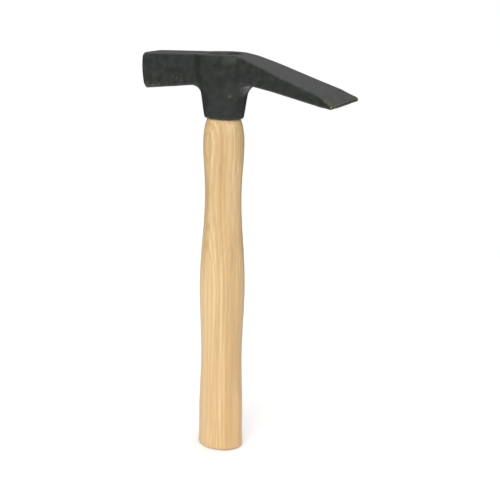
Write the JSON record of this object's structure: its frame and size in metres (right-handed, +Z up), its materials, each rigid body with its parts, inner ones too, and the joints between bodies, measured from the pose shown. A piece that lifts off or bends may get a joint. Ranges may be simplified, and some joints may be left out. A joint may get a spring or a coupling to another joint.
{
  "type": "brick hammer",
  "caption": "Mason's brick hammer: black forged head with a square poll, drooping broad cutting blade and long socket, on an oval ash handle.",
  "frame": {"origin": "centre of the handle's butt, on the handle's axis", "axes": "+Z up along the handle to the head, +X towards the cutting blade, -X towards the striking poll, Y across the head"},
  "size_m": [0.1536, 0.048, 0.3],
  "materials": {
    "forged_head": "thin black-grey lacquer over forged scale, satin, worn to bare steel at corners",
    "ash_handle": "straight-grained ash under clear lacquer",
    "wedge_wood": "sawn hardwood",
    "wedge_steel": "plain steel, dull"
  },
  "bodies": {
    "root": {"hammer_head": "forged_head", "handle": "ash_handle", "wood_wedge": "wedge_wood", "ring_wedge": "wedge_steel"}
  },
  "joints": []
}
